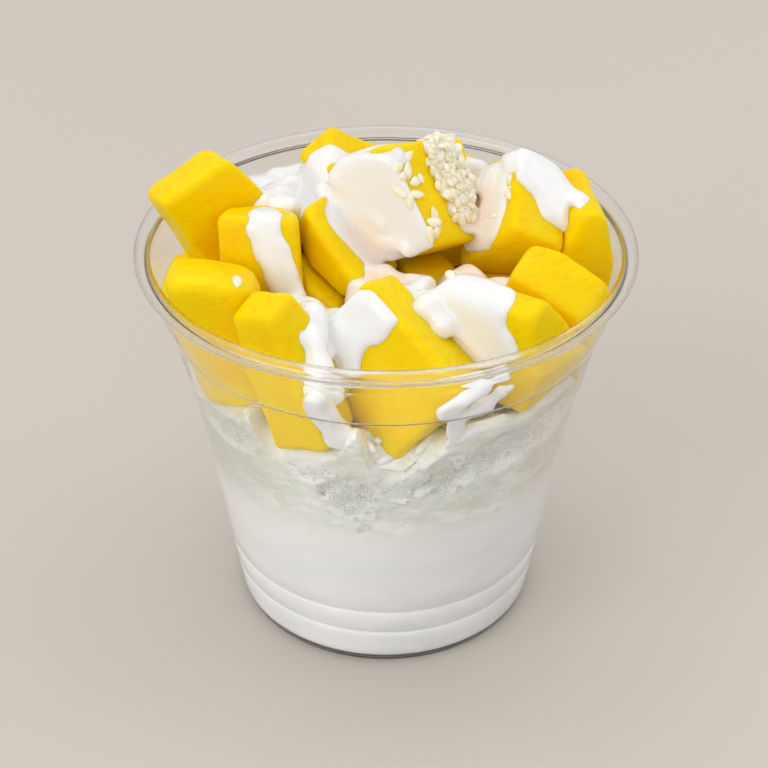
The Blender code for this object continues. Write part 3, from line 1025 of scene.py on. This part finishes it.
def make_seeds(material, tree):
    rng = np.random.default_rng(5)
    unit, faces = sesame()
    copies = []
    for centre, facing, (across, along), count, pile in SEED_GROUPS:
        axes = frame_on(facing, 0.0)
        placed = []
        for _ in range(count * 30):
            if len(placed) >= count:
                break
            a, radius = rng.uniform(0.0, 2.0 * math.pi), math.sqrt(rng.uniform(0.0, 1.0))
            away = axes[0] * across * radius * math.cos(a) + axes[1] * along * radius * math.sin(a)
            spot = np.array(centre) + away
            lift = rng.uniform(0.0, pile) if pile else 0.0
            if any(np.linalg.norm(spot - p) + abs(lift - q) * 2.0 < 1.5 for p, q in placed):
                continue
            hit = tree.ray_cast(Vector(spot + axes[2] * 8.0), Vector(-axes[2]), 14.0)
            if hit[0] is None:
                continue
            placed.append((spot, lift))
            up = np.array(hit[1]) * (1.0 if np.dot(hit[1], axes[2]) > 0.0 else -1.0)
            normal = up + rng.normal(0.0, 0.25 + 0.3 * pile, 3)
            turn = frame_on(normal, rng.uniform(0.0, 2.0 * math.pi))
            size = rng.uniform(0.95, 1.18)
            lying = np.array(hit[0]) + up * (0.12 + 0.5 * lift)
            copies.append(((unit * size) @ turn + lying, faces))
    points, faces = gathered(copies)
    mesh_piece("sesame_seeds", points, faces, material)


# Patches of condensation on the wall: angle from the front in degrees, height, half sizes, lean, count,
# and the drops' size
DROP_PATCHES = (
    (-9, 43.0, 5.5, 5.5, -0.6, 170, 0.48),
    (-17, 48.5, 9.0, 3.5, -0.5, 170, 0.27),
    (6, 48.0, 7.0, 4.5, 0.5, 170, 0.38),
    (18, 49.0, 4.5, 4.5, 0.5, 90, 0.42),
    (31, 52.0, 8.0, 4.0, 0.5, 170, 0.28),
    (44, 55.0, 12.0, 5.0, 0.4, 220, 0.18),
    (-46, 52.0, 14.0, 5.0, -0.4, 240, 0.18),
    (110, 54.0, 30.0, 5.0, 0.2, 260, 0.25),
    (190, 54.0, 40.0, 5.0, 0.2, 320, 0.25),
    (-110, 54.0, 30.0, 5.0, -0.2, 260, 0.25),
)


def make_drops(material):
    """Condensation: flattened drops on the inside of the wall."""
    rng = np.random.default_rng(23)
    unit, faces = blob(6, 10)
    copies, taken = [], []
    for at, height, wide, tall, lean, count, size in DROP_PATCHES:
        for _ in range(count):
            u, v = rng.normal(0.0, 0.45, 2)
            z = height + tall * v
            angle = at + wide * u + lean * wide * v
            a = math.radians(angle - 90.0)
            radius = float(inner_radius(z))
            spot = np.array((radius * math.cos(a), radius * math.sin(a), z))
            r = size * rng.uniform(0.5, 1.35) * (1.0 - 0.25 * v)
            if any(abs(z - t[2]) < 2.0 and np.linalg.norm(spot - t[:3]) < r + t[3] for t in taken):
                continue
            taken.append(np.array((*spot, r)))
            out = np.array((math.cos(a), math.sin(a), -0.17))
            copies.append(((unit * (r, r, 0.8 * r)) @ frame_on(out, 0.0) + spot - out * 0.05, faces))
    points, faces = gathered(copies)
    mesh_piece("condensation_drops", points, faces, material)


# ---------------------------------------------------------------- floor, light, camera


def make_floor():
    bm = bmesh.new()
    bmesh.ops.create_circle(bm, cap_ends=True, segments=96, radius=3.0)
    mesh = bpy.data.meshes.new("floor")
    bm.to_mesh(mesh)
    bm.free()
    mesh.materials.append(floor_material())
    floor = bpy.data.objects.new("floor", mesh)
    bpy.context.scene.collection.objects.link(floor)


def area_light(name, place_at, aim, size, power, colour=(1.0, 1.0, 1.0)):
    light = bpy.data.lights.new(name, "AREA")
    light.shape = "RECTANGLE"
    light.size, light.size_y = size
    light.energy = power
    light.color = colour
    ob = bpy.data.objects.new(name, light)
    bpy.context.scene.collection.objects.link(ob)
    ob.location = place_at
    ob.rotation_euler = (Vector(aim) - Vector(place_at)).to_track_quat("-Z", "Y").to_euler()


def make_light():
    world = bpy.data.worlds.new("studio")
    bpy.context.scene.world = world
    world.use_nodes = True
    background = world.node_tree.nodes["Background"]
    background.inputs["Color"].default_value = (0.97, 0.97, 0.98, 1.0)
    background.inputs["Strength"].default_value = 0.74
    area_light("overhead", (0.0, 0.25, 0.9), (0.0, 0.0, 0.05), (0.9, 0.5), 2.1)
    area_light("front_left", (-0.7, -0.6, 0.6), (0.0, 0.0, 0.05), (0.7, 0.7), 2.8, (1.0, 0.99, 0.97))
    area_light("front", (0.0, -0.9, 0.4), (0.0, 0.0, 0.06), (0.8, 0.4), 0.8)
    area_light("right", (0.8, 0.0, 0.5), (0.0, 0.0, 0.05), (0.5, 0.5), 0.8)
    bpy.context.scene.view_settings.view_transform = "Standard"


def make_camera():
    elevation, roll = math.radians(CAMERA_ELEVATION), math.radians(CAMERA_ROLL)
    back = Vector((0.0, -math.cos(elevation), math.sin(elevation)))
    camera = bpy.data.cameras.new("camera")
    camera.lens = CAMERA_LENS
    camera.sensor_width = 36.0
    ob = bpy.data.objects.new("camera", camera)
    bpy.context.scene.collection.objects.link(ob)
    turn = (-back).to_track_quat("-Z", "Y").to_matrix() @ Matrix.Rotation(roll, 3, "Z")
    ob.matrix_world = Matrix.Translation(Vector(CAMERA_AIM) + back * CAMERA_DISTANCE) @ turn.to_4x4()
    bpy.context.scene.camera = ob


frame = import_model()

make_camera()
make_light()
make_floor()
make_cup(cup_material())
make_cream(cream_material())
heap = make_cubes(mango_material())
edge = make_rice_body(rice_material(), heap)
make_grains(grain_material(), edge)
sauce = make_sauce(sauce_material(), heap)
cubes = [bpy.data.objects[f"mango_cube_{n + 1:02d}"] for n in range(len(CUBES))]
make_seeds(seed_material(), trees_of([sauce, *cubes]))
make_drops(water_material())
